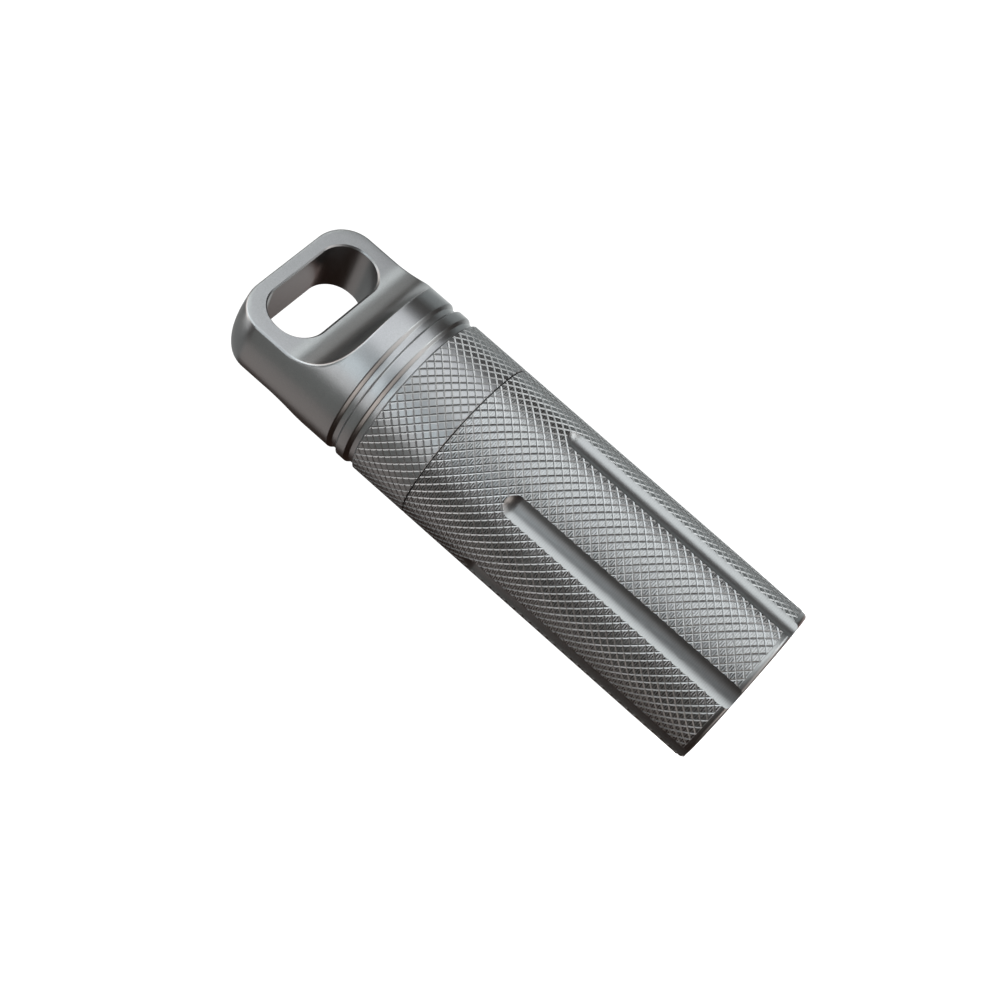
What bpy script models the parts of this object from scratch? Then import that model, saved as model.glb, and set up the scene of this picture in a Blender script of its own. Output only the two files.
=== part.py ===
"""Waterproof pocket canister: a fluted tube, a screw cap milled into a bail, and the cap's O-ring.

Metres, +Z up. The tube stands on the XY plane with its axis on Z. The bail's slot runs along Y, so
its two milled flats face -Y and +Y. A knurled length is a plain cylinder at the knurl's crests, and
a threaded length is one at the thread's pitch radius.
"""

import math

import bmesh
import bpy
from mathutils import Matrix

# Tube
OUTER_RADIUS = 0.0125
TUBE_HEIGHT = 0.0487
FLOOR_THICKNESS = 0.0025
FLOOR_CORNER_RADIUS = 0.0012
BASE_EDGE_RADIUS = 0.0007
MOUTH_WALL = 0.0016
MOUTH_CHAMFER = 0.0003

# Flutes milled down the tube and out through its base
FLUTE_COUNT = 6
FLUTE_WIDTH = 0.0035
FLUTE_CUTTER_RADIUS = 0.0026
FLUTE_START_DEPTH = 0.0103
FLUTE_TURN = math.radians(44.0)

# Thread between tube and cap
THREAD_STEP = 0.0004
THREAD_DEPTH = 0.0009
THREAD_LENGTH = 0.0050
THREAD_TAIL = 0.0007
THREAD_LEAD_IN = 0.0005
THREAD_GAP = 0.0003
BORE_STEP = 0.0006

# O-ring and the gland that carries it on the cap's spigot
RING_SECTION = 0.0017
RING_GAP = 0.0003
LAND_LENGTH = 0.0012
LAND_GAP = 0.0003

# Cap, from its shoulder upwards
SEAM_GAP = 0.0003
BAND_HEIGHT = 0.0087
GROOVE_WIDTH = 0.00175
GROOVE_DEPTH = 0.00045
GROOVE_FLANK = 0.00065
GROOVE_WALL = 0.00035
BEAD_WIDTH = 0.00125
NECK_HEIGHT = 0.0028
CROWN_RADIUS = 0.0048

# Bail
BAIL_THICKNESS = 0.0092
SCALLOP_RADIUS = 0.0075
SILL_HEIGHT = 0.0064
SLOT_LENGTH = 0.0184
SLOT_HEIGHT = 0.0085
SLOT_END_STRAIGHT = 0.0003
SLOT_CHAMFER = 0.0003
TOP_BAR_HEIGHT = 0.0021

# How far a cutter runs past what it cuts
OVERRUN = 0.0020

# Facets
TURN_STEPS = 72
FLUTE_STEPS = 20
RING_STEPS = 10
CORNER_STEPS = 6
EDGE_STEPS = 3
GROOVE_STEPS = 5
SCALLOP_STEPS = 10
SHARP_EDGE = math.radians(30)
MERGE_DISTANCE = 0.00001

# Radii from the outside in
mouth_radius = OUTER_RADIUS - MOUTH_WALL
thread_major_radius = mouth_radius - THREAD_STEP
thread_pitch_radius = thread_major_radius - THREAD_DEPTH / 2
thread_minor_radius = thread_major_radius - THREAD_DEPTH
bore_radius = thread_minor_radius - BORE_STEP
land_radius = mouth_radius - LAND_GAP
gland_radius = mouth_radius - RING_SECTION - 2 * RING_GAP
spigot_radius = thread_pitch_radius - THREAD_GAP / 2
socket_radius = thread_pitch_radius + THREAD_GAP / 2

# Corners of the bail's slot, which nearly meet at its ends
slot_corner_radius = (SLOT_HEIGHT - SLOT_END_STRAIGHT) / 2

# Lengths of the spigot below the cap's shoulder, and of the tube's socket below its rim
gland_width = RING_SECTION + 2 * RING_GAP
seal_length = 2 * LAND_LENGTH + gland_width
spigot_length = seal_length + THREAD_LENGTH
socket_depth = spigot_length + THREAD_TAIL

# Heights of the cap's features above its shoulder
lower_groove_height = BAND_HEIGHT
upper_groove_height = lower_groove_height + GROOVE_WIDTH + BEAD_WIDTH
scallop_height = upper_groove_height + GROOVE_WIDTH + NECK_HEIGHT
slot_centre_height = scallop_height + SILL_HEIGHT + SLOT_HEIGHT / 2
cap_height = scallop_height + SILL_HEIGHT + SLOT_HEIGHT + TOP_BAR_HEIGHT
cap_base = TUBE_HEIGHT + SEAM_GAP


def clear_scene():
    for old in list(bpy.data.objects):
        bpy.data.objects.remove(old, do_unlink=True)


def finish(name, color, roughness, metallic):
    """A Principled material of one colour."""
    material = bpy.data.materials.new(name)
    material.use_nodes = True
    shader = material.node_tree.nodes["Principled BSDF"]
    shader.inputs["Base Color"].default_value = (*color, 1.0)
    shader.inputs["Roughness"].default_value = roughness
    shader.inputs["Metallic"].default_value = metallic
    return material


def arc(centre, radius, start, end, steps):
    """Points along an arc in the profile plane, with its angles in degrees."""
    points = []
    for step in range(steps + 1):
        angle = math.radians(start + (end - start) * step / steps)
        points.append(
            (centre[0] + radius * math.cos(angle), centre[1] + radius * math.sin(angle))
        )
    return points


def new_object(name, bm, parent=None):
    mesh = bpy.data.meshes.new(name)
    bm.to_mesh(mesh)
    bm.free()
    piece = bpy.data.objects.new(name, mesh)
    piece.parent = parent
    bpy.context.scene.collection.objects.link(piece)
    return piece


def new_axis(name, height, parent=None):
    """An empty on the canister's axis, which a moving piece hangs from."""
    axis = bpy.data.objects.new(name, None)
    axis.location = (0, 0, height)
    axis.parent = parent
    bpy.context.scene.collection.objects.link(axis)
    return axis


def turned(name, profile, steps, closed=False, parent=None):
    """A piece turned about Z from (radius, height) points that run down its outer side."""
    bm = bmesh.new()
    points = [bm.verts.new((radius, 0, height)) for radius, height in profile]
    for first, second in zip(points, points[1:]):
        bm.edges.new((first, second))
    if closed:
        bm.edges.new((points[-1], points[0]))
    piece = new_object(name, bm, parent)
    screw = piece.modifiers.new("Turn", "SCREW")
    screw.axis = "Z"
    screw.angle = 2 * math.pi
    screw.steps = screw.render_steps = steps
    screw.use_merge_vertices = True
    screw.merge_threshold = MERGE_DISTANCE
    return piece


def as_cutter(piece):
    piece.hide_render = True
    piece.display_type = "WIRE"
    return piece


def cut(piece, cutter):
    boolean = piece.modifiers.new("Cut " + cutter.name, "BOOLEAN")
    boolean.operation = "DIFFERENCE"
    boolean.solver = "EXACT"
    boolean.object = cutter


def smooth(piece):
    """Shades a piece smooth and keeps its sharp edges."""
    graph = bpy.context.evaluated_depsgraph_get()
    shape = bpy.data.meshes.new_from_object(piece.evaluated_get(graph))
    shape.name = piece.name
    shape.shade_smooth()
    shape.set_sharp_from_angle(angle=SHARP_EDGE)
    piece.modifiers.clear()
    piece.data = shape


def flute_cutters():
    """Ball-nosed bars that stand in the tube's wall, one for each flute."""
    half_width = FLUTE_WIDTH / 2
    chord_radius = math.sqrt(OUTER_RADIUS**2 - half_width**2)
    centre_radius = chord_radius + math.sqrt(FLUTE_CUTTER_RADIUS**2 - half_width**2)
    reach = math.sqrt(FLUTE_CUTTER_RADIUS**2 - (centre_radius - OUTER_RADIUS) ** 2)
    ball_height = TUBE_HEIGHT - FLUTE_START_DEPTH - reach
    profile = arc((0, ball_height), FLUTE_CUTTER_RADIUS, 90, 0, CORNER_STEPS)
    profile[0] = (0, profile[0][1])
    profile += [(FLUTE_CUTTER_RADIUS, -OVERRUN), (0, -OVERRUN)]
    cutters = []
    for number in range(FLUTE_COUNT):
        angle = FLUTE_TURN + 2 * math.pi * number / FLUTE_COUNT
        cutter = as_cutter(turned(f"flute_cutter_{number + 1}", profile, FLUTE_STEPS))
        cutter.matrix_world = Matrix.Rotation(angle, 4, "Z") @ Matrix.Translation(
            (centre_radius, 0, 0)
        )
        cutters.append(cutter)
    return cutters


def make_tube():
    """The tube: blind-bored, with a plain sealing mouth above its thread."""
    rim = TUBE_HEIGHT
    shelf = rim - seal_length
    socket_end = rim - socket_depth
    step_width = socket_radius - bore_radius
    corner = (bore_radius - FLOOR_CORNER_RADIUS, FLOOR_THICKNESS + FLOOR_CORNER_RADIUS)
    profile = [(0, FLOOR_THICKNESS)]
    profile += arc(corner, FLOOR_CORNER_RADIUS, -90, 0, CORNER_STEPS)
    profile += [
        (bore_radius, socket_end - step_width),
        (socket_radius, socket_end),
        (socket_radius, shelf - THREAD_LEAD_IN),
        (socket_radius + THREAD_LEAD_IN, shelf),
        (mouth_radius, shelf),
        (mouth_radius, rim - MOUTH_CHAMFER),
        (mouth_radius + MOUTH_CHAMFER, rim),
        (OUTER_RADIUS, rim),
    ]
    base_edge = (OUTER_RADIUS - BASE_EDGE_RADIUS, BASE_EDGE_RADIUS)
    profile += arc(base_edge, BASE_EDGE_RADIUS, 0, -90, EDGE_STEPS)
    profile += [(0, 0)]
    tube = turned("canister_tube", profile, TURN_STEPS)
    for cutter in flute_cutters():
        cut(tube, cutter)
    return tube


def groove(height):
    """A groove in the cap's side, as profile points down it: soft flank, floor, steep wall."""
    points = []
    for step in range(GROOVE_STEPS + 1):
        share = step / GROOVE_STEPS
        sink = GROOVE_DEPTH * (1 - math.cos(math.pi * share)) / 2
        drop = GROOVE_FLANK * share
        points.append((OUTER_RADIUS - sink, height + GROOVE_WIDTH - drop))
    points.append((OUTER_RADIUS - GROOVE_DEPTH, height + GROOVE_WALL))
    points.append((OUTER_RADIUS, height))
    return points


def flats_cutter():
    """Two blocks that leave the bail between them, each with a round inner corner."""
    reach = OUTER_RADIUS + OVERRUN
    top = cap_height + OVERRUN
    half = BAIL_THICKNESS / 2
    centre = (half + SCALLOP_RADIUS, scallop_height + SCALLOP_RADIUS)
    outline = arc(centre, SCALLOP_RADIUS, 180, 270, SCALLOP_STEPS)
    outline += [(reach, scallop_height), (reach, top), (half, top)]
    bm = bmesh.new()
    for side in (-1, 1):
        corners = [bm.verts.new((-reach, side * y, z)) for y, z in outline]
        face = bm.faces.new(corners)
        made = bmesh.ops.extrude_face_region(bm, geom=[face])
        moved = [item for item in made["geom"] if isinstance(item, bmesh.types.BMVert)]
        bmesh.ops.translate(bm, verts=moved, vec=(2 * reach, 0, 0))
    bmesh.ops.recalc_face_normals(bm, faces=bm.faces)
    return bm


def slot_outline(growth):
    """The slot's rounded rectangle, as (x, height) points, grown outwards all round."""
    half_length = SLOT_LENGTH / 2 - slot_corner_radius
    half_height = SLOT_HEIGHT / 2 - slot_corner_radius
    radius = slot_corner_radius + growth
    points = []
    for across, up, start in ((1, 1, 0), (-1, 1, 90), (-1, -1, 180), (1, -1, 270)):
        centre = (across * half_length, slot_centre_height + up * half_height)
        points += arc(centre, radius, start, start + 90, CORNER_STEPS)
    return points


def slot_cutter():
    """A bar through the bail that flares at each flat, which chamfers the slot's rims."""
    half = BAIL_THICKNESS / 2
    flare = SLOT_CHAMFER + OVERRUN
    stations = [
        (-half - OVERRUN, flare),
        (-half + SLOT_CHAMFER, 0),
        (half - SLOT_CHAMFER, 0),
        (half + OVERRUN, flare),
    ]
    bm = bmesh.new()
    rings = []
    for y, growth in stations:
        verts = [bm.verts.new((x, y, z)) for x, z in slot_outline(growth)]
        loop = list(zip(verts, verts[1:] + verts[:1]))
        rings.append([bm.edges.new(ends) for ends in loop])
        if y in (stations[0][0], stations[-1][0]):
            bm.faces.new(verts)
    for first, second in zip(rings, rings[1:]):
        bmesh.ops.bridge_loops(bm, edges=first + second)
    bmesh.ops.recalc_face_normals(bm, faces=bm.faces)
    return bm


def make_cap(parent):
    """The cap: crown, grooved collar, knurling band, and the spigot with its gland."""
    crown = (OUTER_RADIUS - CROWN_RADIUS, cap_height - CROWN_RADIUS)
    profile = [(0, cap_height)]
    profile += arc(crown, CROWN_RADIUS, 90, 0, CORNER_STEPS)
    profile += groove(upper_groove_height)
    profile += groove(lower_groove_height)
    profile += [
        (OUTER_RADIUS, 0),
        (land_radius, 0),
        (land_radius, -LAND_LENGTH),
        (gland_radius, -LAND_LENGTH),
        (gland_radius, -LAND_LENGTH - gland_width),
        (land_radius, -LAND_LENGTH - gland_width),
        (land_radius, -seal_length),
        (spigot_radius, -seal_length),
        (spigot_radius, THREAD_LEAD_IN - spigot_length),
        (spigot_radius - THREAD_LEAD_IN, -spigot_length),
        (0, -spigot_length),
    ]
    cap = turned("screw_cap", profile, TURN_STEPS, parent=parent)
    cut(cap, as_cutter(new_object("flats_cutter", flats_cutter(), parent)))
    cut(cap, as_cutter(new_object("slot_cutter", slot_cutter(), parent)))
    return cap


def make_ring(parent):
    """The O-ring, centred in the gland on the cap's spigot."""
    centre_radius = gland_radius + RING_GAP + RING_SECTION / 2
    height = -LAND_LENGTH - gland_width / 2
    section = arc((centre_radius, height), RING_SECTION / 2, 360, 0, RING_STEPS)
    return turned("o_ring", section[:-1], TURN_STEPS, closed=True, parent=parent)


clear_scene()
lift_axis = new_axis("cap_lift_axis", cap_base)
turn_axis = new_axis("cap_turn_axis", 0, lift_axis)
tube = make_tube()
ring = make_ring(lift_axis)
cap = make_cap(turn_axis)
bpy.context.view_layer.update()
for piece in (tube, ring, cap):
    smooth(piece)
tube.data.materials.append(finish("tube_anodised", (0.23, 0.24, 0.245), 0.38, 0.9))
cap.data.materials.append(finish("cap_anodised", (0.22, 0.23, 0.235), 0.3, 0.9))
ring.data.materials.append(finish("seal_rubber", (0.015, 0.015, 0.016), 0.55, 0.0))
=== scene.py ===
import math

import bmesh
import bpy
import numpy as np
from mathutils import Matrix, Vector


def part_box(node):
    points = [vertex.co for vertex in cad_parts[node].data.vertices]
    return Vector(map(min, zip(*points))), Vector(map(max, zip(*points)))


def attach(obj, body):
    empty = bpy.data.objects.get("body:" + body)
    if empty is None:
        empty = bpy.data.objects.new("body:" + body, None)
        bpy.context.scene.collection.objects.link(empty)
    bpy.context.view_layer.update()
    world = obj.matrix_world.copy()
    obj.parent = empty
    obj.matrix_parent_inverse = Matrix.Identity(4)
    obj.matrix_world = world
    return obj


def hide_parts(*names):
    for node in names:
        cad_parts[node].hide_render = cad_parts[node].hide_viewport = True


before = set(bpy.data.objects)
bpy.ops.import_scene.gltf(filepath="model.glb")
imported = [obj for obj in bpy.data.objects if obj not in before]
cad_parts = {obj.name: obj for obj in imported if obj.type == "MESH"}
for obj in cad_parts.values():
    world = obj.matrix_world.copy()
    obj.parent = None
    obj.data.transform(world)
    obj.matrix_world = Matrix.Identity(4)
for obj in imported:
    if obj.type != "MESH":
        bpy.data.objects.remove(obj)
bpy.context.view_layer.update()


# The tube. It is turned from aluminium bar, with a blind bore, a threaded socket and a plain mouth
# for the seal. Its side is diamond-knurled down to a narrow strip at the base, six flutes are then
# milled down it with a ball-nosed cutter, and it is blasted and anodised gunmetal grey.

tube_low, tube_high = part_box("canister_tube")
cap_low, cap_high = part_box("screw_cap")
side_radius = tube_high.x

SEAM_WIDTH = 0.00010
FLOOR_THICKNESS = 0.0025
BORE_RADIUS = 0.0090
BORE_CORNER = 0.0012
SOCKET_RADIUS = 0.00975
SOCKET_TOP = 0.0440
SOCKET_BOTTOM = 0.0383
LEAD_IN = 0.0008
MOUTH_RADIUS = 0.0109
EDGE_BREAK = 0.0001
BASE_STRIP = 0.0009
BASE_ROUND = 0.00055

KNURL_STARTS = 54
KNURL_PERIOD = 0.001412
KNURL_DEPTH = 0.0001
KNURL_INSET = 0.00008
KNURL_LAND_SHARE = 0.70
KNURL_LAND_POINTS = 3
KNURL_SPARE = 0.0001
KNURL_SPARE_ROWS = 6
WALL_FACING = 0.95
TUBE_KNURL_TURN = math.radians(0.7)
TUBE_KNURL_SHIFT = -0.0004

FLUTE_COUNT = 6
FLUTE_TURN = math.radians(44.0)
FLUTE_RADIUS = 0.0026
FLUTE_WIDTH = 0.0035
FLUTE_TOP = 0.0384
BALL_STEPS = 24

THREAD_PITCH = 0.0015
THREAD_HEIGHT = 0.00085
THREAD_BASE = 0.00125
THREAD_CREST = 0.00030
THREAD_ROOM = 0.0001
THREAD_SINK = 0.0001
THREAD_TAPER_SHARE = 0.06
THREAD_END_SHARE = 0.02
THREAD_STEPS = 96
SOCKET_THREAD_START = 0.0384
SOCKET_THREAD_TURNS = 4.2

LATHE_STEPS = 192
ROUND_STEPS = 5
MERGE_DISTANCE = 0.000002
SHARP_EDGE = math.radians(28)

TUBE_COLOR = (0.27, 0.275, 0.28)
SKIN_CLOUDS = 0.10
SKIN_UNEVENNESS = 0.08
SKIN_GRAIN = 0.12
CLOUD_SCALE = 180.0
CLOUD_DETAIL = 4.0
CLOUD_ROUGHNESS = 0.6
GRAIN_SCALE = 6000.0
GRAIN_DETAIL = 3.0
GRAIN_ROUGHNESS = 0.65
GRAIN_DEPTH = 0.00001
FEED_WANDER = 0.3
WANDER_SCALE = 700.0
WANDER_DETAIL = 2.0
HOLLOW_MEAN = 1 / 3


def rounded(corners, steps=ROUND_STEPS):
    """An outline through (across, up, rounding) corners, with an arc at each rounded one."""
    outline = []
    for index, (across, up, rounding) in enumerate(corners):
        here = Vector((across, up))
        if not rounding:
            outline.append((across, up))
            continue
        back = (Vector(corners[index - 1][:2]) - here).normalized()
        ahead = (Vector(corners[(index + 1) % len(corners)][:2]) - here).normalized()
        half = back.angle(ahead) / 2
        centre = here + (back + ahead).normalized() * rounding / math.sin(half)
        start = here + back * rounding / math.tan(half) - centre
        turn = math.copysign(math.pi - 2 * half, back.x * ahead.y - back.y * ahead.x)
        for step in range(steps + 1):
            spoke = Matrix.Rotation(-turn * step / steps, 2) @ start
            outline.append(tuple(centre + spoke))
    return outline


def tidy(mesh):
    """Joins doubled points and turns every face outwards."""
    shape = bmesh.new()
    shape.from_mesh(mesh)
    bmesh.ops.remove_doubles(shape, verts=shape.verts, dist=MERGE_DISTANCE)
    bmesh.ops.recalc_face_normals(shape, faces=shape.faces)
    shape.to_mesh(mesh)
    shape.free()


def new_piece(name, mesh):
    """A piece at the origin, so that its place is in its mesh."""
    piece = bpy.data.objects.new(name, mesh)
    bpy.context.scene.collection.objects.link(piece)
    return piece


def solid(name, mesh, material):
    """A closed piece in one material."""
    mesh.materials.append(material)
    tidy(mesh)
    return new_piece(name, mesh)


def turned(name, profile, material, closed=False):
    """A body turned about Z from (radius, height) points.

    They start and end on the axis, or they go once round a closed section.
    """
    points, rows, faces = [], [], []
    for radius, height in profile:
        count = LATHE_STEPS if radius else 1
        rows.append(range(len(points), len(points) + count))
        for step in range(count):
            angle = 2 * math.pi * step / LATHE_STEPS
            points.append((radius * math.cos(angle), radius * math.sin(angle), height))
    following = rows[1:] + (rows[:1] if closed else [])
    for row, under in zip(rows, following):
        for step in range(LATHE_STEPS):
            after = (step + 1) % LATHE_STEPS
            loop = [row[step % len(row)], row[after % len(row)]]
            loop += [under[after % len(under)], under[step % len(under)]]
            faces.append(list(dict.fromkeys(loop)))
    mesh = bpy.data.meshes.new(name)
    mesh.from_pydata(points, [], faces)
    return solid(name, mesh, material)


def machined(piece, tool, operation="DIFFERENCE"):
    """Cuts a piece with a tool shape, whose finish the new surface takes, and clears the tool."""
    boolean = piece.modifiers.new(tool.name, "BOOLEAN")
    boolean.operation = operation
    boolean.solver = "MANIFOLD"
    boolean.material_mode = "TRANSFER"
    boolean.object = tool
    graph = bpy.context.evaluated_depsgraph_get()
    shape = bpy.data.meshes.new_from_object(piece.evaluated_get(graph))
    piece.modifiers.remove(boolean)
    piece.data = shape
    bpy.data.objects.remove(tool)


def shade(piece):
    """Shades a piece smooth between its sharp edges."""
    piece.data.name = piece.name
    piece.data.shade_smooth()
    piece.data.set_sharp_from_angle(angle=SHARP_EDGE)


def new_tree(name, **sizes):
    """A geometry tree with a named input for each size, of the kind given, and those inputs."""
    tree = bpy.data.node_groups.new(name, "GeometryNodeTree")
    tree.interface.new_socket("Geometry", in_out="OUTPUT", socket_type="NodeSocketGeometry")
    for label, kind in sizes.items():
        tree.interface.new_socket(label, in_out="INPUT", socket_type="NodeSocket" + kind)
    return tree, tree.nodes.new("NodeGroupInput").outputs


def add(tree, kind, inputs=None, **settings):
    """A node of a tree. Each of its inputs is given a value or another node's output."""
    node = tree.nodes.new(kind)
    for label, value in settings.items():
        setattr(node, label, value)
    for label, value in (inputs or {}).items():
        if isinstance(value, bpy.types.NodeSocket):
            tree.links.new(value, node.inputs[label])
        else:
            node.inputs[label].default_value = value
    return node


def calc(tree, operation, *values):
    """The number that a Math node works out."""
    values = dict(enumerate(values))
    return add(tree, "ShaderNodeMath", values, operation=operation).outputs[0]


def vector(tree, **parts):
    """The vector with these X, Y and Z, where a missing one is nought."""
    return add(tree, "ShaderNodeCombineXYZ", parts).outputs[0]


def round_place(tree, radius, angle, height=0.0):
    """The place at a radius and an angle round the axis, and at a height."""
    return vector(
        tree,
        X=calc(tree, "MULTIPLY", radius, calc(tree, "COSINE", angle)),
        Y=calc(tree, "MULTIPLY", radius, calc(tree, "SINE", angle)),
        Z=height,
    )


def round_angle(tree, number, count, turn):
    """The angle of a numbered place, where a count of them goes once round the axis."""
    angle = calc(tree, "DIVIDE", calc(tree, "MULTIPLY", number, 2 * math.pi), count)
    return calc(tree, "ADD", angle, turn)


def moved(tree, geometry, position):
    """A shape whose points are put at a new position."""
    inputs = {"Geometry": geometry, "Position": position}
    return add(tree, "GeometryNodeSetPosition", inputs).outputs[0]


def merged(tree, geometry):
    """A shape whose doubled points are joined."""
    inputs = {"Geometry": geometry, "Distance": MERGE_DISTANCE}
    return add(tree, "GeometryNodeMergeByDistance", inputs).outputs[0]


def skirted(tree, mesh, position):
    """A mesh with a skirt drawn to a new position from its open edges, which have one face."""
    edges = add(tree, "GeometryNodeInputMeshEdgeNeighbors").outputs[0]
    is_open = calc(tree, "LESS_THAN", edges, 2.0)
    skirt = {"Mesh": mesh, "Selection": is_open, "Offset Scale": 0.0}
    skirt = add(tree, "GeometryNodeExtrudeMesh", skirt, mode="EDGES").outputs
    drawn = {"Geometry": skirt[0], "Selection": skirt[1], "Position": position}
    return add(tree, "GeometryNodeSetPosition", drawn).outputs[0]


def copied(tree, points, piece):
    """Real copies of a piece, one at each point."""
    copies = {"Points": points, "Instance": piece}
    copies = add(tree, "GeometryNodeInstanceOnPoints", copies).outputs[0]
    return add(tree, "GeometryNodeRealizeInstances", {"Geometry": copies}).outputs[0]


def finish_tree(tree, geometry, material, selection=None, other=None):
    """Ends a geometry tree: the shape takes its finish, and a selection of faces its own."""
    real = add(tree, "GeometryNodeRealizeInstances", {"Geometry": geometry}).outputs[0]
    faced = add(tree, "GeometryNodeSetMaterial", {"Geometry": real, "Material": material})
    if selection:
        part = {"Geometry": faced.outputs[0], "Selection": selection, "Material": other}
        faced = add(tree, "GeometryNodeSetMaterial", part)
    tree.links.new(faced.outputs[0], tree.nodes.new("NodeGroupOutput").inputs[0])


def grown(name, tree, **sizes):
    """The mesh that a geometry tree makes from these sizes, as a plain piece."""
    piece = new_piece(name, bpy.data.meshes.new(name))
    modifier = piece.modifiers.new(tree.name, "NODES")
    modifier.node_group = tree
    for item in tree.interface.items_tree:
        if item.in_out == "INPUT":
            modifier[item.identifier] = sizes[item.name]
    graph = bpy.context.evaluated_depsgraph_get()
    shape = bpy.data.meshes.new_from_object(piece.evaluated_get(graph))
    piece.modifiers.remove(modifier)
    piece.data = shape
    tidy(shape)
    return piece


def diamond(tree, size, place):
    """One diamond, 1 wide and 2 high: a flat land with walls that slope down to its outline."""
    x, y, z = place
    land = {
        "Size X": size["Land"],
        "Size Y": size["Land"],
        "Vertices X": KNURL_LAND_POINTS,
        "Vertices Y": KNURL_LAND_POINTS,
    }
    land = add(tree, "GeometryNodeMeshGrid", land).outputs[0]
    foot = vector(
        tree,
        X=calc(tree, "DIVIDE", x, size["Land"]),
        Y=calc(tree, "DIVIDE", y, size["Land"]),
        Z=calc(tree, "MULTIPLY", size["Depth"], -1.0),
    )
    on_its_corner = vector(
        tree,
        X=calc(tree, "MULTIPLY", calc(tree, "ADD", x, y), 0.5),
        Y=calc(tree, "SUBTRACT", y, x),
        Z=z,
    )
    return moved(tree, skirted(tree, land, foot), on_its_corner)


def diamond_field(tree, size, piece):
    """Copies of a diamond in level rows, with every other row half a diamond along."""
    index = add(tree, "GeometryNodeInputIndex").outputs[0]
    row = calc(tree, "DIVIDE", calc(tree, "ADD", index, 0.5), size["Starts"])
    row = calc(tree, "FLOOR", row)
    column = calc(tree, "SUBTRACT", index, calc(tree, "MULTIPLY", row, size["Starts"]))
    stagger = calc(tree, "MULTIPLY", calc(tree, "MODULO", row, 2.0), 0.5)
    spots = {
        "Count": calc(tree, "MULTIPLY", size["Rows"], size["Starts"]),
        "Position": vector(tree, X=calc(tree, "ADD", column, stagger), Y=row),
    }
    return copied(tree, add(tree, "GeometryNodePoints", spots).outputs[0], piece)


def knurl_tree():
    """A closed bar covered in flat-topped diamonds, which two crossed sets of V grooves leave.

    A flat field of diamonds is wrapped round the axis, and a fan of faces closes each end.
    """
    tree, size = new_tree(
        "Knurled bar",
        Starts="Int",
        Rows="Int",
        Radius="Float",
        Depth="Float",
        Land="Float",
        Period="Float",
        Bottom="Float",
        Turn="Float",
        Material="Material",
        Walls="Material",
    )
    place = add(tree, "GeometryNodeInputPosition").outputs[0]
    place = add(tree, "ShaderNodeSeparateXYZ", {0: place}).outputs
    x, y, z = place
    flat = diamond_field(tree, size, diamond(tree, size, place))
    angle = round_angle(tree, x, size["Starts"], size["Turn"])
    radius = calc(tree, "ADD", z, size["Radius"])
    half_period = calc(tree, "MULTIPLY", size["Period"], 0.5)
    height = calc(tree, "ADD", calc(tree, "MULTIPLY", y, half_period), size["Bottom"])
    bar = merged(tree, moved(tree, flat, round_place(tree, radius, angle, height)))
    length = calc(tree, "MULTIPLY", size["Rows"], half_period)
    share = calc(tree, "DIVIDE", calc(tree, "SUBTRACT", z, size["Bottom"]), length)
    end = calc(tree, "MULTIPLY", calc(tree, "ROUND", share), length)
    pole = vector(tree, Z=calc(tree, "ADD", end, size["Bottom"]))
    closed = merged(tree, skirted(tree, bar, pole))
    spoke = {0: vector(tree, X=x, Y=y)}
    spoke = add(tree, "ShaderNodeVectorMath", spoke, operation="NORMALIZE").outputs[0]
    facing = {0: add(tree, "GeometryNodeInputNormal").outputs[0], 1: spoke}
    facing = add(tree, "ShaderNodeVectorMath", facing, operation="DOT_PRODUCT").outputs["Value"]
    is_wall = calc(tree, "LESS_THAN", facing, WALL_FACING)
    finish_tree(tree, closed, size["Material"], is_wall, size["Walls"])
    return tree


def around_tree():
    """Copies of a tool at equal turns round the axis."""
    tree, size = new_tree(
        "Round the axis",
        Tool="Object",
        Count="Int",
        Distance="Float",
        Turn="Float",
        Material="Material",
    )
    index = add(tree, "GeometryNodeInputIndex").outputs[0]
    angle = round_angle(tree, index, size["Count"], size["Turn"])
    spots = {"Count": size["Count"], "Position": round_place(tree, size["Distance"], angle)}
    spots = add(tree, "GeometryNodePoints", spots).outputs[0]
    tool = add(tree, "GeometryNodeObjectInfo", {"Object": size["Tool"]}).outputs["Geometry"]
    finish_tree(tree, copied(tree, spots, tool), size["Material"])
    return tree


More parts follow.
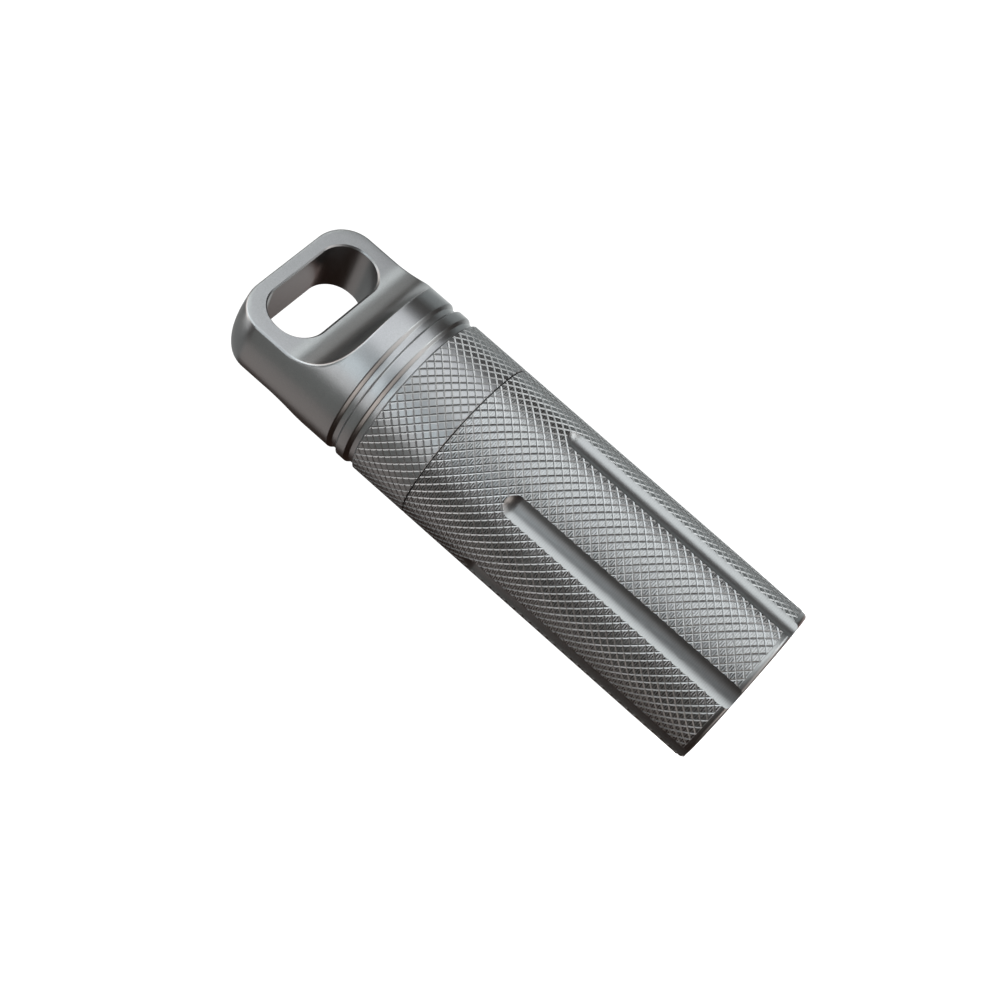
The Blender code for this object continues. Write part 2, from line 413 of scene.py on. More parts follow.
def thread_tree():
    """One right-hand ridge, with a flat crest and sloping flanks, that winds up round the axis."""
    tree, size = new_tree(
        "Thread ridge",
        Radius="Float",
        Height="Float",
        Base="Float",
        Crest="Float",
        Pitch="Float",
        Turns="Float",
        Taper="Float",
        Start="Float",
        Turn="Float",
        Material="Material",
    )
    path = {
        "Resolution": THREAD_STEPS,
        "Rotations": size["Turns"],
        "Start Radius": size["Radius"],
        "End Radius": size["Radius"],
        "Height": calc(tree, "MULTIPLY", size["Turns"], size["Pitch"]),
        "Reverse": True,
    }
    path = add(tree, "GeometryNodeCurveSpiral", path).outputs[0]
    path = add(tree, "GeometryNodeSetCurveNormal", {"Curve": path}, mode="Z_UP").outputs[0]
    section = {
        "Bottom Width": size["Base"],
        "Top Width": size["Crest"],
        "Height": size["Height"],
        "Offset": 0.0,
    }
    section = add(tree, "GeometryNodeCurvePrimitiveQuadrilateral", section, mode="TRAPEZOID")
    outwards = add(tree, "FunctionNodeEulerToRotation", {0: (0.0, 0.0, -math.pi / 2)})
    section = {
        "Geometry": section.outputs[0],
        "Rotation": outwards.outputs[0],
        "Translation": vector(tree, X=calc(tree, "MULTIPLY", size["Height"], 0.5)),
    }
    section = add(tree, "GeometryNodeTransform", section).outputs[0]
    along = add(tree, "GeometryNodeSplineParameter").outputs["Factor"]
    to_end = calc(tree, "MINIMUM", along, calc(tree, "SUBTRACT", 1.0, along))
    run_out = calc(tree, "MINIMUM", calc(tree, "DIVIDE", to_end, size["Taper"]), 1.0)
    run_out = calc(tree, "MAXIMUM", run_out, THREAD_END_SHARE)
    ridge = {"Curve": path, "Profile Curve": section, "Scale": run_out, "Fill Caps": True}
    ridge = add(tree, "GeometryNodeCurveToMesh", ridge).outputs[0]
    turn = add(tree, "FunctionNodeEulerToRotation", {0: vector(tree, Z=size["Turn"])})
    placed = {
        "Geometry": ridge,
        "Rotation": turn.outputs[0],
        "Translation": vector(tree, Z=size["Start"]),
    }
    placed = add(tree, "GeometryNodeTransform", placed).outputs[0]
    finish_tree(tree, placed, size["Material"])
    return tree


def new_group(name, inputs, outputs):
    """A shader node group with these sockets, its inputs, and the node that takes its results."""
    group = bpy.data.node_groups.new(name, "ShaderNodeTree")
    for label, kind in inputs.items():
        group.interface.new_socket(label, in_out="INPUT", socket_type="NodeSocket" + kind)
    for label, kind in outputs.items():
        group.interface.new_socket(label, in_out="OUTPUT", socket_type="NodeSocket" + kind)
    return group, group.nodes.new("NodeGroupInput").outputs, group.nodes.new("NodeGroupOutput")


def noise(tree, place, scale, detail, roughness=0.5):
    """A noise pattern that swings both ways from nought."""
    pattern = {"Vector": place, "Scale": scale, "Detail": detail, "Roughness": roughness}
    pattern = add(tree, "ShaderNodeTexNoise", pattern).outputs["Fac"]
    return calc(tree, "SUBTRACT", pattern, 0.5)


def blasted_group():
    """The blasted and anodised skin: cloudy colour, uneven gloss and a fine grain."""
    group, size, result = new_group(
        "Blasted and anodised",
        {
            "Color": "Color",
            "Clouds": "Float",
            "Roughness": "Float",
            "Unevenness": "Float",
            "Grain": "Float",
        },
        {"Color": "Color", "Roughness": "Float", "Height": "Float"},
    )
    place = add(group, "ShaderNodeTexCoord").outputs["Object"]
    clouds = noise(group, place, CLOUD_SCALE, CLOUD_DETAIL, CLOUD_ROUGHNESS)
    grain = noise(group, place, GRAIN_SCALE, GRAIN_DETAIL, GRAIN_ROUGHNESS)
    swing = calc(group, "MULTIPLY", clouds, size["Clouds"])
    speck = calc(group, "MULTIPLY", grain, size["Grain"])
    tone = calc(group, "ADD", calc(group, "ADD", swing, speck), 1.0)
    color = add(group, "ShaderNodeVectorMath", {0: size["Color"], 1: tone}, operation="MULTIPLY")
    spread = calc(group, "MULTIPLY", clouds, size["Unevenness"])
    group.links.new(color.outputs[0], result.inputs["Color"])
    group.links.new(calc(group, "ADD", size["Roughness"], spread), result.inputs["Roughness"])
    group.links.new(speck, result.inputs["Height"])
    return group


def tool_marks_group():
    """Fine hollows that a round-nosed cutter leaves at an even feed up the axis.

    The sharp ridges between them are painted a little brighter than the hollows: painted highlight
    on the ridges and painted shade in the hollows.
    """
    group, size, result = new_group(
        "Feed lines",
        {"Feed": "Float", "Wander": "Float", "Contrast": "Float"},
        {"Height": "Float", "Tone": "Float"},
    )
    place = add(group, "ShaderNodeTexCoord").outputs["Object"]
    height = add(group, "ShaderNodeSeparateXYZ", {0: place}).outputs["Z"]
    drift = noise(group, place, WANDER_SCALE, WANDER_DETAIL)
    drift = calc(group, "MULTIPLY", drift, size["Wander"])
    turns = calc(group, "ADD", calc(group, "DIVIDE", height, size["Feed"]), drift)
    across = calc(group, "SUBTRACT", calc(group, "FRACT", turns), 0.5)
    across = calc(group, "MULTIPLY", across, 2.0)
    hollow = calc(group, "MULTIPLY", across, across)
    # Painted shade and highlight: the colour is darkened in the hollows and lightened on the
    # ridges.
    tone = calc(group, "SUBTRACT", hollow, HOLLOW_MEAN)
    tone = calc(group, "MULTIPLY", tone, size["Contrast"])
    group.links.new(hollow, result.inputs["Height"])
    group.links.new(calc(group, "ADD", tone, 1.0), result.inputs["Tone"])
    return group


blasted = blasted_group()
tool_marks = tool_marks_group()


def skinned(name, color, **skin):
    """A material with the blasted skin's colour, gloss and grain, and its colour and its bump."""
    material = bpy.data.materials.new(name)
    material.use_nodes = True
    tree = material.node_tree
    shader = tree.nodes["Principled BSDF"]
    skin = {"Color": (*color, 1.0), **skin}
    skin = add(tree, "ShaderNodeGroup", skin, node_tree=blasted).outputs
    bump = {"Height": skin["Height"], "Distance": GRAIN_DEPTH}
    bump = add(tree, "ShaderNodeBump", bump).outputs[0]
    tree.links.new(skin["Color"], shader.inputs["Base Color"])
    tree.links.new(skin["Roughness"], shader.inputs["Roughness"])
    tree.links.new(bump, shader.inputs["Normal"])
    return material, skin["Color"], bump


def anodised(name, color, roughness, grain=SKIN_GRAIN, feed=0.0, mark_depth=0.0, painted_shade_strength=0.0):
    """Anodised aluminium, with a cutter's feed lines under the skin where a feed is given, and
    painted shade in their hollows and painted highlight on their ridges to the given strength.
    """
    material, tone, bump = skinned(
        name,
        color,
        Clouds=SKIN_CLOUDS,
        Roughness=roughness,
        Unevenness=SKIN_UNEVENNESS,
        Grain=grain,
    )
    tree = material.node_tree
    shader = tree.nodes["Principled BSDF"]
    shader.inputs["Metallic"].default_value = 1.0
    if feed:
        marks = {"Feed": feed, "Wander": FEED_WANDER, "Contrast": painted_shade_strength}
        marks = add(tree, "ShaderNodeGroup", marks, node_tree=tool_marks).outputs
        lines = {"Height": marks["Height"], "Distance": mark_depth, "Normal": bump}
        lines = add(tree, "ShaderNodeBump", lines).outputs[0]
        # The skin's colour times the feed lines' painted shade: darker in the hollows, lighter on
        # the ridges.
        painted_shade_color = {0: tone, 1: marks["Tone"]}
        painted_shade_color = add(tree, "ShaderNodeVectorMath", painted_shade_color, operation="MULTIPLY").outputs[0]
        tree.links.new(painted_shade_color, shader.inputs["Base Color"])
        tree.links.new(lines, shader.inputs["Normal"])
    return material


tube_turned = anodised(
    "tube_turned", TUBE_COLOR, roughness=0.34, feed=0.00012, mark_depth=0.0000015
)
tube_knurled = anodised(
    "tube_knurled", TUBE_COLOR, roughness=0.27, feed=0.00031, mark_depth=0.000024
)
tube_knurl_walls = anodised("tube_knurl_walls", TUBE_COLOR, roughness=0.38)
# The flutes' colour is painted darker in the feed lines' hollows and lighter on their ridges, as
# painted shade and highlight.
tube_milled = anodised(
    "tube_milled", TUBE_COLOR, roughness=0.36, feed=0.00031, mark_depth=0.000003, painted_shade_strength=0.1
)

knurled_bar = knurl_tree()
round_the_axis = around_tree()
thread_ridge = thread_tree()

rim = tube_high.z + SEAM_WIDTH
crest_radius = side_radius - KNURL_INSET
blank_radius = crest_radius + EDGE_BREAK


def knurled_stock(name, bottom, top, turn, shift, material, walls):
    """A knurled bar that reaches past these heights, with its diamonds turned and shifted up."""
    return grown(
        name,
        knurled_bar,
        Starts=KNURL_STARTS,
        Rows=2 * math.ceil((top - bottom) / KNURL_PERIOD) + KNURL_SPARE_ROWS,
        Radius=crest_radius,
        Depth=KNURL_DEPTH,
        Land=KNURL_LAND_SHARE,
        Period=KNURL_PERIOD,
        Bottom=shift + bottom - KNURL_PERIOD,
        Turn=turn,
        Material=material,
        Walls=walls,
    )


def thread(name, radius, start, turns, room, material):
    """A thread's ridge on a radius, or with room round it the groove that takes one."""
    return grown(
        name,
        thread_ridge,
        Radius=radius - THREAD_SINK,
        Height=THREAD_HEIGHT,
        Base=THREAD_BASE + room,
        Crest=THREAD_CREST + 2 * room,
        Pitch=THREAD_PITCH,
        Turns=turns,
        Taper=THREAD_TAPER_SHARE,
        Start=start,
        Turn=2 * math.pi * (start - SOCKET_THREAD_START) / THREAD_PITCH,
        Material=material,
    )


tube = turned(
    "tube",
    rounded(
        [
            (0, FLOOR_THICKNESS, 0),
            (BORE_RADIUS, FLOOR_THICKNESS, BORE_CORNER),
            (BORE_RADIUS, SOCKET_BOTTOM - (SOCKET_RADIUS - BORE_RADIUS), 0),
            (SOCKET_RADIUS, SOCKET_BOTTOM, 0),
            (SOCKET_RADIUS, SOCKET_TOP - LEAD_IN, 0),
            (SOCKET_RADIUS + LEAD_IN, SOCKET_TOP, 0),
            (MOUTH_RADIUS, SOCKET_TOP, 0),
            (MOUTH_RADIUS, rim, 2 * EDGE_BREAK),
            (crest_radius - EDGE_BREAK, rim, 0),
            (blank_radius, rim - 2 * EDGE_BREAK, 0),
            (blank_radius, BASE_STRIP + KNURL_SPARE, 0),
            (crest_radius - KNURL_DEPTH, BASE_STRIP, 0),
            (crest_radius - KNURL_DEPTH, 0, BASE_ROUND),
            (0, 0, 0),
        ]
    ),
    tube_turned,
)
bar = knurled_stock(
    "tube_knurl",
    0,
    tube_high.z,
    TUBE_KNURL_TURN,
    TUBE_KNURL_SHIFT,
    tube_knurled,
    tube_knurl_walls,
)
machined(tube, bar, "INTERSECT")

half_flute = FLUTE_WIDTH / 2
chord_radius = math.sqrt(side_radius**2 - half_flute**2)
flute_distance = chord_radius + math.sqrt(FLUTE_RADIUS**2 - half_flute**2)
flute_reach = math.sqrt(FLUTE_RADIUS**2 - (flute_distance - side_radius) ** 2)
flute_tip = FLUTE_TOP - flute_reach + FLUTE_RADIUS
ball_nose = turned(
    "ball_nose",
    rounded(
        [
            (0, flute_tip, 0),
            (FLUTE_RADIUS, flute_tip, FLUTE_RADIUS - MERGE_DISTANCE),
            (FLUTE_RADIUS, -FLUTE_RADIUS, 0),
            (0, -FLUTE_RADIUS, 0),
        ],
        BALL_STEPS,
    ),
    tube_milled,
)
flutes = grown(
    "flutes",
    round_the_axis,
    Tool=ball_nose,
    Count=FLUTE_COUNT,
    Distance=flute_distance,
    Turn=FLUTE_TURN,
    Material=tube_milled,
)
bpy.data.objects.remove(ball_nose)
machined(tube, flutes)

socket_thread = thread(
    "socket_thread",
    SOCKET_RADIUS,
    SOCKET_THREAD_START,
    SOCKET_THREAD_TURNS,
    THREAD_ROOM,
    tube_turned,
)
machined(tube, socket_thread)
shade(tube)
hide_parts("canister_tube")
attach(tube, "tube")


# The O-ring. A moulded ring of black nitrile rubber, with a fine grain and a faint bloom, is
# stretched into the gland on the cap's spigot, and is squeezed a little between the gland and
# the tube's mouth when the cap is down.

RING_CENTRE = 0.00975
RING_RADIUS = 0.00085
RING_HEIGHT = 0.04665
RING_SQUEEZE_SHARE = 0.97
RING_STEPS = 32
RING_COLOR = (0.014, 0.014, 0.015)


def ring_section():
    """The seal's section as (radius, height) points, a little flatter across than it is high."""
    section = []
    for step in range(RING_STEPS):
        angle = 2 * math.pi * step / RING_STEPS
        across = RING_CENTRE + RING_RADIUS * RING_SQUEEZE_SHARE * math.cos(angle)
        section.append((across, RING_HEIGHT + RING_RADIUS * math.sin(angle)))
    return section


seal_nitrile = skinned(
    "seal_nitrile", RING_COLOR, Clouds=0.5, Roughness=0.42, Unevenness=0.2, Grain=0.3
)[0]
seal = turned("seal", ring_section(), seal_nitrile, closed=True)
shade(seal)
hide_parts("o_ring")
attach(seal, "seal")


# The cap. It is turned from aluminium bar: crown, collar with two grooves and a bead, knurled grip
# band, and a spigot with the seal's gland and the thread. Two flats that end in scallops are then
# milled into it, with a slot through them that leaves a bail, and it is blasted and anodised.

CAP_SHOULDER = 0.0490
CROWN_ROUND = 0.0048
BAIL_HALF = 0.0046
SCALLOP_RADIUS = 0.0075
LEDGE_HEIGHT = 0.06525
BAIL_ROUND = 0.00025
GROOVE_DEPTH = 0.00045
GROOVE_WIDTH = 0.00175
GROOVE_FLANK = 0.00065
GROOVE_WALL = 0.00035
BEAD_WIDTH = 0.00125
BAND_HEIGHT = 0.0087
BAND_EDGE_ROUND = 0.00008
CAP_KNURL_TURN = math.radians(1.8)
CAP_KNURL_SHIFT = 0.0001
GROOVE_EDGE_ROUND = 0.00018
LAND_RADIUS = 0.0106
GLAND_RADIUS = 0.0086
GLAND_TOP = 0.0478
GLAND_BOTTOM = 0.0455
SPIGOT_TOP = 0.0443
SPIGOT_ROOT = 0.0095
SPIGOT_CHAMFER = 0.0005
SPIGOT_THREAD_START = 0.0394
SPIGOT_THREAD_TURNS = 3.1

SLOT_HALF_LENGTH = 0.0092
SLOT_HALF_HEIGHT = 0.00425
SLOT_CENTRE_HEIGHT = 0.0759
SLOT_CORNER = 0.0041
SLOT_CHAMFER = 0.00022
SLOT_STEPS = 20
OVERRUN = 0.0020

EDGE_REACH = BAIL_ROUND * 1.1
EDGE_SHARES = (0.25, 0.5, 0.75, 1.0)
CROWN_EDGE_SHARE = 1.6
LEDGE_SHARES = (0.3, 0.55, 0.75, 0.9, 0.97)
ARC_PATCHES = 34
FLAT_PATCHES = 22
SCALLOP_ROWS = 40
SCALLOP_CROWDING = 1.3
CROWN_ROWS = 18
FLAT_ROWS = 8
LEAST_COSINE = 0.25
LEAST_SLOPE = 0.2
PROJECTION_STEPS = 6
PROBE = 0.00001

CAP_COLOR = (0.265, 0.27, 0.275)
cap_turned = anodised(
    "cap_turned", CAP_COLOR, roughness=0.30, grain=0.35, feed=0.00010, mark_depth=0.0000006
)
cap_knurled = anodised("cap_knurled", CAP_COLOR, roughness=0.32, grain=0.25)
cap_knurl_walls = anodised("cap_knurl_walls", CAP_COLOR, roughness=0.46)
cap_milled = anodised(
    "cap_milled", CAP_COLOR, roughness=0.34, feed=0.00022, mark_depth=0.000001
)

shoulder = CAP_SHOULDER - SEAM_WIDTH
crown_top = cap_high.z
crown_radius = side_radius - CROWN_ROUND
crown_height = crown_top - CROWN_ROUND
scallop_side = BAIL_HALF + SCALLOP_RADIUS
scallop_height = LEDGE_HEIGHT + SCALLOP_RADIUS


def bail_distance(points):
    """How far points lie outside the cap above its collar, whose milled edges are rounded."""
    across = np.hypot(points[:, 0], points[:, 1])
    side = np.abs(points[:, 1])
    height = points[:, 2]
    crown = np.hypot(across - crown_radius, height - crown_height) - CROWN_ROUND
    crown = np.where(across < crown_radius, height - crown_top, crown)
    lathe = np.where(height < crown_height, across - side_radius, crown)
    scallop = SCALLOP_RADIUS - np.hypot(side - scallop_side, height - scallop_height)
    scallop = np.where(side < scallop_side, scallop, height - LEDGE_HEIGHT)
    mill = np.where(height > scallop_height, side - BAIL_HALF, scallop)
    lathe = lathe + BAIL_ROUND
    mill = mill + BAIL_ROUND
    corner = np.hypot(np.maximum(lathe, 0), np.maximum(mill, 0))
    return np.minimum(np.maximum(lathe, mill), 0) + corner - BAIL_ROUND


def onto_bail(points):
    """Moves points the short way onto the rounded shape."""
    for _ in range(PROJECTION_STEPS):
        distance = bail_distance(points)
        slopes = []
        for axis in np.eye(3):
            ahead = bail_distance(points + PROBE * axis)
            slopes.append((ahead - bail_distance(points - PROBE * axis)) / (2 * PROBE))
        slope = np.array(slopes).T
        length = np.maximum((slope**2).sum(1), LEAST_SLOPE)
        points = points - slope * (distance / length)[:, None]
    return points


def side_places(length, patches, reach):
    """Places along a side from 0 to its length, close together within reach of both its ends."""
    near = [reach * share for share in EDGE_SHARES]
    middle = [reach + (length - 2 * reach) * step / patches for step in range(1, patches)]
    return [0.0] + near + middle + [length - place for place in reversed(near)]


def cap_ring(radius, half):
    """The points of a level ring, as (x, y): two arcs and, between them, two milled sides."""
    corner = math.asin(half / radius)
    arc = 2 * corner * radius
    flat = 2 * radius * math.cos(corner)
    slant = max(math.cos(corner), LEAST_COSINE)
    ring = []
    for turn, side in ((0, 1), (math.pi, -1)):
        for place in side_places(arc, ARC_PATCHES, EDGE_REACH):
            angle = turn - corner + place / radius
            ring.append((radius * math.cos(angle), radius * math.sin(angle)))
        for place in side_places(flat, FLAT_PATCHES, EDGE_REACH / slant):
            ring.append((side * (flat / 2 - place), side * half))
    return ring


def cap_rows():
    """The cap's level rows from the crown down, as (radius, half thickness, height)."""
    rows = []
    for share in (CROWN_EDGE_SHARE, *reversed(EDGE_SHARES)):
        inset = EDGE_REACH * share
        rows.append((crown_radius - inset, BAIL_HALF - inset, crown_top))
    for step in range(CROWN_ROWS + 1):
        angle = math.pi / 2 * (1 - step / CROWN_ROWS)
        radius = crown_radius + CROWN_ROUND * math.cos(angle)
        rows.append((radius, BAIL_HALF, crown_height + CROWN_ROUND * math.sin(angle)))
    for step in range(1, FLAT_ROWS + 1):
        drop = (crown_height - scallop_height) * step / FLAT_ROWS
        rows.append((side_radius, BAIL_HALF, crown_height - drop))
    for step in range(1, SCALLOP_ROWS + 1):
        angle = math.pi / 2 * (1 - step / SCALLOP_ROWS) ** SCALLOP_CROWDING
        half = scallop_side - SCALLOP_RADIUS * math.sin(angle)
        rows.append((side_radius, half, scallop_height - SCALLOP_RADIUS * math.cos(angle)))
    ledge = side_radius - scallop_side
    for share in LEDGE_SHARES:
        half = scallop_side + ledge * share
        rows.append((side_radius, half, LEDGE_HEIGHT - BAIL_ROUND * share**2))
    return rows


def groove(height):
    """A groove's corners down the cap's side: soft upper flank, floor, steep lower wall."""
    floor = side_radius - GROOVE_DEPTH
    return [
        (side_radius, height + GROOVE_WIDTH - GROOVE_FLANK / 4, GROOVE_FLANK / 2),
        (floor, height + GROOVE_WIDTH - GROOVE_FLANK, GROOVE_FLANK / 3),
        (floor, height + GROOVE_WALL, BAND_EDGE_ROUND),
        (side_radius, height, GROOVE_EDGE_ROUND / 2),
    ]


def lower_profile():
    """The cap's turned profile from its neck down to the spigot's end."""
    lower_groove = CAP_SHOULDER + BAND_HEIGHT
    upper_groove = lower_groove + GROOVE_WIDTH + BEAD_WIDTH
    neck_top = LEDGE_HEIGHT - BAIL_ROUND
    corners = [(side_radius, neck_top, 0), (side_radius, neck_top - BAIL_ROUND, 0)]
    corners += groove(upper_groove)
    corners += groove(lower_groove)[:3]
    corners += [
        (blank_radius, lower_groove, 0),
        (blank_radius, shoulder + 2 * EDGE_BREAK, 0),
        (crest_radius - EDGE_BREAK, shoulder, 0),
        (LAND_RADIUS, shoulder, 0),
        (LAND_RADIUS, GLAND_TOP, EDGE_BREAK),
        (GLAND_RADIUS, GLAND_TOP, EDGE_BREAK),
        (GLAND_RADIUS, GLAND_BOTTOM, EDGE_BREAK),
        (LAND_RADIUS, GLAND_BOTTOM, EDGE_BREAK),
        (LAND_RADIUS, SPIGOT_TOP, EDGE_BREAK),
        (SPIGOT_ROOT, SPIGOT_TOP, EDGE_BREAK),
        (SPIGOT_ROOT, cap_low.z + SPIGOT_CHAMFER, 0),
        (SPIGOT_ROOT - SPIGOT_CHAMFER, cap_low.z, 0),
    ]
    return rounded(corners)


def cap_body(name, material):
    """The turned and milled body: a stack of level rings, closed at both ends."""
    widest = cap_ring(side_radius, scallop_side)
    upper = []
    for radius, half, height in cap_rows():
        if half <= scallop_side:
            upper += [(x, y, height) for x, y in cap_ring(radius, half)]
            continue
        for x, y in widest:
            reach = math.hypot(x, y)
            length = min(radius, half * reach / max(abs(y), PROBE))
            upper.append((x * length / reach, y * length / reach, height))
    points = [tuple(point) for point in onto_bail(np.array(upper))]
    spokes = [(x / math.hypot(x, y), y / math.hypot(x, y)) for x, y in widest]
    for radius, height in lower_profile():
        points += [(radius * x, radius * y, height) for x, y in spokes]
    count = len(spokes)
    faces = [list(range(count))]
    for start in range(0, len(points) - count, count):
        for step in range(count):
            after = (step + 1) % count
            faces.append([start + step, start + count + step, start + count + after, start + after])
    faces.append(list(range(len(points) - count, len(points))))
    mesh = bpy.data.meshes.new(name)
    mesh.from_pydata(points, [], faces)
    return solid(name, mesh, material)


def slot_cutter(name, material):
    """A bar through the bail that flares at both flats, which chamfers the slot's rims."""
    flare = SLOT_CHAMFER + OVERRUN
    stations = [
        (-BAIL_HALF - OVERRUN, flare),
        (-BAIL_HALF + SLOT_CHAMFER, 0),
        (BAIL_HALF - SLOT_CHAMFER, 0),
        (BAIL_HALF + OVERRUN, flare),
    ]
    signs = ((1, 1), (-1, 1), (-1, -1), (1, -1))
    shape = bmesh.new()
    rings = []
    for y, growth in stations:
        across = SLOT_HALF_LENGTH + growth
        up = SLOT_HALF_HEIGHT + growth
        corners = [(a * across, b * up, SLOT_CORNER + growth) for a, b in signs]
        outline = rounded(corners, SLOT_STEPS)
        verts = [shape.verts.new((x, y, SLOT_CENTRE_HEIGHT + z)) for x, z in outline]
        rings.append([shape.edges.new(ends) for ends in zip(verts, verts[1:] + verts[:1])])
        if growth:
            shape.faces.new(verts)
    for first, second in zip(rings, rings[1:]):
        bmesh.ops.bridge_loops(shape, edges=first + second)
    mesh = bpy.data.meshes.new(name)
    shape.to_mesh(mesh)
    shape.free()
    return solid(name, mesh, material)


cap = cap_body("cap", cap_turned)
band_top = CAP_SHOULDER + BAND_HEIGHT + GROOVE_WIDTH / 2
band_bottom = shoulder - OVERRUN / 4
sleeve_radius = side_radius + OVERRUN
sleeve = turned(
    "cap_knurl",
    [(0, band_top), (sleeve_radius, band_top), (sleeve_radius, band_bottom), (0, band_bottom)],
    cap_turned,
)
bar = knurled_stock(
    "band_bar",
    band_bottom,
    band_top,
    CAP_KNURL_TURN,
    CAP_KNURL_SHIFT,
    cap_knurled,
    cap_knurl_walls,
)
machined(sleeve, bar)
machined(cap, sleeve)
machined(cap, slot_cutter("slot", cap_milled))
spigot_thread = thread(
    "spigot_thread",
    SPIGOT_ROOT,
    SPIGOT_THREAD_START,
    SPIGOT_THREAD_TURNS,
    0,
    cap_turned,
)
machined(cap, spigot_thread, "UNION")
shade(cap)
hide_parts("screw_cap")
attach(cap, "cap")


# The studio. The canister stands on a white floor in front of a white wall, in a dim warm room,
# with large and small softboxes hung all round it for the metal to mirror. The camera looks up at
# it a little, and is rolled so that the canister leans across the picture.

CAMERA_PLACE = (-0.1611, -0.2211, 0.00865)
CAMERA_AZIMUTH = math.radians(54.50)
CAMERA_ELEVATION = math.radians(6.58)
CAMERA_ROLL = math.radians(-48.66)
CAMERA_LENS = 74.93
SENSOR_WIDTH = 36.0

FLOOR_SIZE = 6.0
FLOOR_COLOR = (0.85, 0.85, 0.85, 1.0)
FLOOR_ROUGHNESS = 0.9
WALL_COLOR = (1.0, 1.0, 1.0, 1.0)
WALL_STRENGTH = 1.1
ROOM_COLOR = (0.03, 0.015, 0.01, 1.0)
ROOM_STRENGTH = 1.0
OVERHEAD_STRENGTH = 5.0
OVERHEAD_SPREAD = math.radians(150.0)

# Each softbox has a name, the degrees it hangs round from the camera's side and up from level,
# its width and height in metres, its brightness and its colour.
PANEL_DISTANCE = 0.45
PANELS = (
    ("key", 25.0, 41.0, 0.20, 0.31, 2.5, (0.94, 1.01, 1.05)),
    ("key_left", 0.0, 41.0, 0.20, 0.31, 2.1, (0.98, 1.02, 1.00)),
    ("key_right", 50.0, 41.0, 0.20, 0.31, 1.75, (0.96, 1.02, 1.02)),
    ("wing", 75.0, 31.0, 0.20, 0.14, 2.0, (0.97, 1.02, 1.01)),
    ("wing_far", 100.0, 41.0, 0.20, 0.31, 0.5, (0.98, 1.02, 1.00)),
    ("strip", -20.0, 14.0, 0.16, 0.12, 3.0, (0.92, 1.02, 1.06)),
    ("strip_left", -40.0, 14.0, 0.16, 0.12, 2.5, (1.00, 1.00, 1.00)),
    ("strip_far", -70.0, 14.0, 0.32, 0.12, 0.45, (0.96, 1.03, 1.00)),
    ("bar_front", 0.0, 14.0, 0.16, 0.12, 1.2, (0.92, 1.01, 1.07)),
    ("bar", 44.0, 14.0, 0.54, 0.12, 2.0, (0.98, 0.99, 1.03)),
    ("low_front", 20.0, -1.0, 0.16, 0.12, 2.4, (0.97, 1.02, 1.01)),
    ("low_bar", 50.0, -6.0, 0.32, 0.20, 2.6, (0.97, 1.02, 1.01)),
    ("table", 56.0, -45.0, 0.50, 0.33, 1.3, (1.02, 1.00, 0.98)),
    ("table_right", 75.0, -35.0, 0.20, 0.16, 3.3, (0.96, 1.02, 1.02)),
    ("table_left", -62.0, -55.0, 0.40, 0.16, 1.0, (1.10, 0.99, 0.90)),
    ("under", 10.0, -78.0, 0.60, 0.24, 1.2, (1.10, 0.98, 0.90)),
    ("back_right", 130.0, 5.0, 0.28, 0.33, 0.53, (0.93, 1.03, 1.04)),
    ("rim", 165.0, 25.0, 0.28, 0.75, 0.92, (0.96, 1.02, 1.02)),
    ("rim_low", 165.0, -35.0, 0.28, 0.33, 0.45, (1.20, 0.93, 0.87)),
    ("left_wall", -60.0, 55.0, 0.33, 0.24, 1.4, (1.00, 1.00, 1.00)),
    ("left_side", -112.0, 15.0, 0.33, 0.16, 0.5, (1.07, 0.99, 0.95)),
    ("left_high", -134.0, 45.0, 0.68, 0.33, 0.33, (0.96, 1.02, 1.02)),
    ("top", 0.0, 75.0, 0.63, 0.24, 2.1, (1.09, 0.99, 0.92)),
)

middle = Vector((0, 0, (tube_low.z + cap_high.z) / 2))
camera_side = math.atan2(CAMERA_PLACE[1], CAMERA_PLACE[0])


def direction(turn, up):
    """The direction at an angle round the axis and an angle up from level."""
    return Vector((math.cos(up) * math.cos(turn), math.cos(up) * math.sin(turn), math.sin(up)))


def soft_panel(name, degrees_round, degrees_up, width, height, brightness, color):
    """A softbox that faces the canister and that the camera doesn't see."""
    lamp = bpy.data.lights.new(name, "AREA")
    lamp.shape = "RECTANGLE"
    lamp.size = width
    lamp.size_y = height
    lamp.energy = math.pi * width * height * brightness
    lamp.color = color
    panel = bpy.data.objects.new(name, lamp)
    bpy.context.scene.collection.objects.link(panel)
    spoke = direction(camera_side + math.radians(degrees_round), math.radians(degrees_up))
    panel.location = middle + PANEL_DISTANCE * spoke
    panel.rotation_euler = spoke.to_track_quat("Z", "Y").to_euler()
    panel.visible_camera = False


def overhead():
    """Broad even light from above, which whitens the floor and which the metal doesn't mirror."""
    lamp = bpy.data.lights.new("overhead", "SUN")
    lamp.energy = OVERHEAD_STRENGTH
    lamp.angle = OVERHEAD_SPREAD
    above = bpy.data.objects.new("overhead", lamp)
    bpy.context.scene.collection.objects.link(above)
    above.visible_glossy = False


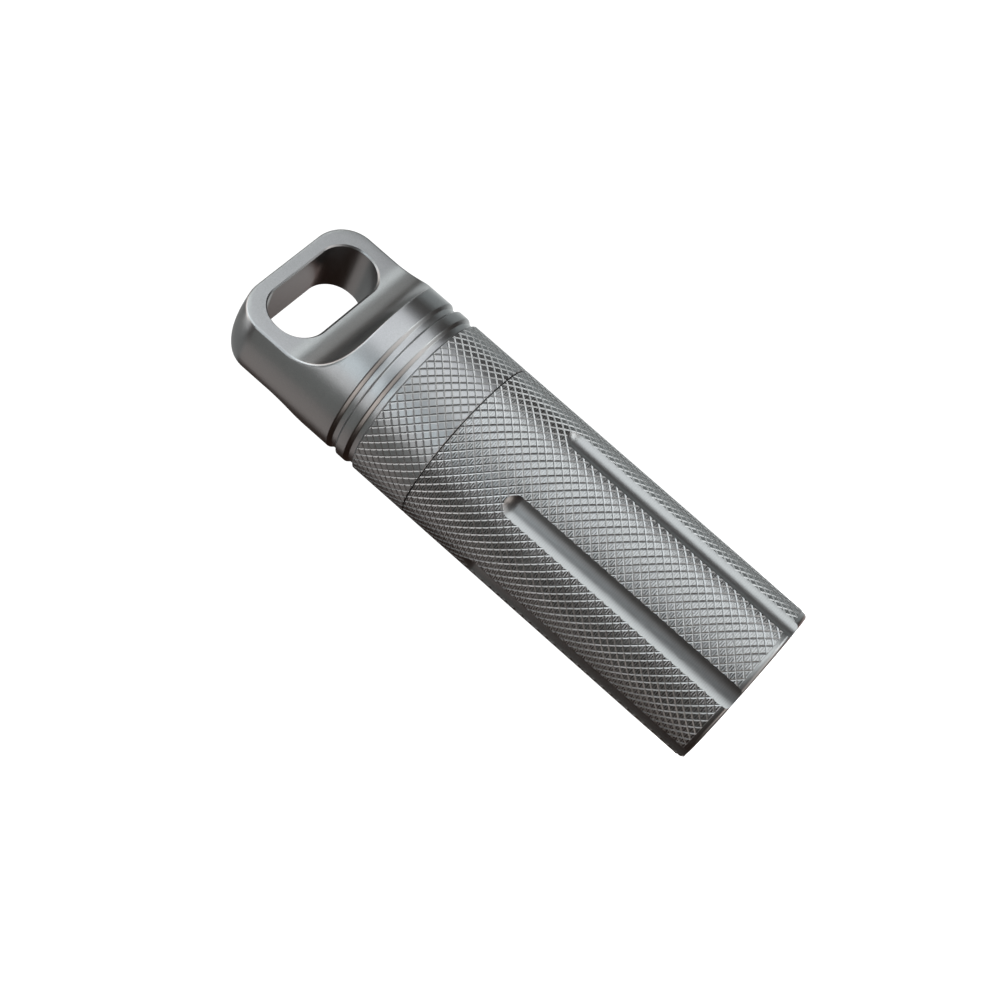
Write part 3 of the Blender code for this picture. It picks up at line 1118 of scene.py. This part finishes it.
def white_floor():
    """A matt white floor. The metal doesn't mirror it, and it hides no softbox under it."""
    mesh = bpy.data.meshes.new("floor")
    half = FLOOR_SIZE / 2
    corners = [(-half, -half, 0), (half, -half, 0), (half, half, 0), (-half, half, 0)]
    mesh.from_pydata(corners, [], [(0, 1, 2, 3)])
    floor = new_piece("floor", mesh)
    material = bpy.data.materials.new("floor_white")
    material.use_nodes = True
    shader = material.node_tree.nodes["Principled BSDF"]
    shader.inputs["Base Color"].default_value = FLOOR_COLOR
    shader.inputs["Roughness"].default_value = FLOOR_ROUGHNESS
    shader.inputs["Specular IOR Level"].default_value = 0.0
    mesh.materials.append(material)
    floor.visible_glossy = False
    floor.visible_diffuse = False
    floor.visible_shadow = False
    return floor


def studio_world():
    """A dim warm room, which the camera sees as a white wall."""
    world = bpy.data.worlds.new("studio")
    world.use_nodes = True
    tree = world.node_tree
    room = tree.nodes["Background"]
    room.inputs["Color"].default_value = ROOM_COLOR
    room.inputs["Strength"].default_value = ROOM_STRENGTH
    wall = {"Color": WALL_COLOR, "Strength": WALL_STRENGTH}
    wall = add(tree, "ShaderNodeBackground", wall)
    seen = add(tree, "ShaderNodeLightPath").outputs["Is Camera Ray"]
    mixed = add(tree, "ShaderNodeMixShader", {0: seen, 1: room.outputs[0], 2: wall.outputs[0]})
    tree.links.new(mixed.outputs[0], tree.nodes["World Output"].inputs["Surface"])
    bpy.context.scene.world = world


for panel in PANELS:
    soft_panel(*panel)
overhead()
studio_world()
white_floor()

lens = bpy.data.cameras.new("camera")
lens.lens = CAMERA_LENS
lens.sensor_width = SENSOR_WIDTH
camera = bpy.data.objects.new("camera", lens)
bpy.context.scene.collection.objects.link(camera)
look = direction(CAMERA_AZIMUTH, CAMERA_ELEVATION)
aim = look.to_track_quat("-Z", "Y").to_matrix() @ Matrix.Rotation(CAMERA_ROLL, 3, "Z")
camera.matrix_world = Matrix.Translation(CAMERA_PLACE) @ aim.to_4x4()
bpy.context.scene.camera = camera
bpy.context.scene.view_settings.view_transform = "Standard"
